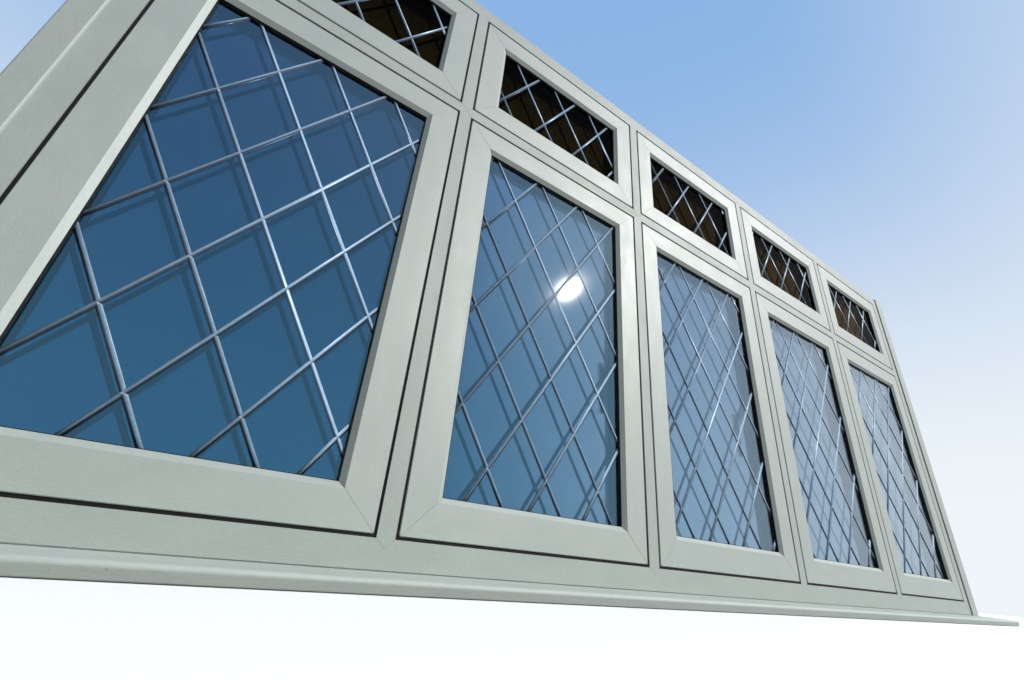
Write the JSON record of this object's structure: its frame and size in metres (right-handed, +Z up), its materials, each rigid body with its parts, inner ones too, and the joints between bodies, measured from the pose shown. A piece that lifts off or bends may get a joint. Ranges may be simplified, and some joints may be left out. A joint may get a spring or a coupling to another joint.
{
  "type": "flush casement window",
  "caption": "Wide flush casement window: tall leaded casements under short ones, welded foiled frame, end trims and a projecting sill.",
  "frame": {"origin": "on the underside of the sill, below the middle of the frame's width, in the plane of the frame's street face", "axes": "+X to the right seen from the street, +Y from the street face into the room, +Z up"},
  "size_m": [2.808, 0.1877, 1.281],
  "materials": {
    "foil": "pale grey-green wood-grain foil, satin",
    "glass": "clear float glass with a blue-grey cast",
    "gasket": "black, matt",
    "spacer": "dark warm-edge spacer bar",
    "cap": "pale grey-green moulding, satin",
    "handle": "satin plated"
  },
  "bodies": {
    "root": {"end_trim_left": "foil", "end_trim_right": "foil", "frame_bottom": "foil", "frame_head": "foil", "frame_jamb_left": "foil", "frame_jamb_right": "foil", "glass_lower_1": "glass", "glass_lower_2": "glass", "glass_lower_3": "glass", "glass_lower_4": "glass", "glass_lower_5": "glass", "glass_upper_1": "glass", "glass_upper_2": "glass", "glass_upper_3": "glass", "glass_upper_4": "glass", "glass_upper_5": "glass", "glazing_beads": "foil", "glazing_gaskets": "gasket", "handle_levers": "handle", "handle_plates": "handle", "mullion_lower_1": "foil", "mullion_lower_2": "foil", "mullion_lower_3": "foil", "mullion_lower_4": "foil", "mullion_upper_1": "foil", "mullion_upper_2": "foil", "mullion_upper_3": "foil", "mullion_upper_4": "foil", "sash_lower_1": "foil", "sash_lower_2": "foil", "sash_lower_3": "foil", "sash_lower_4": "foil", "sash_lower_5": "foil", "sash_upper_1": "foil", "sash_upper_2": "foil", "sash_upper_3": "foil", "sash_upper_4": "foil", "sash_upper_5": "foil", "sill": "foil", "sill_end_cap_left": "cap", "sill_end_cap_right": "cap", "spacer_bars": "spacer", "transom_1": "foil", "transom_2": "foil", "transom_3": "foil", "transom_4": "foil", "transom_5": "foil", "weather_seals": "gasket"}
  },
  "joints": []
}
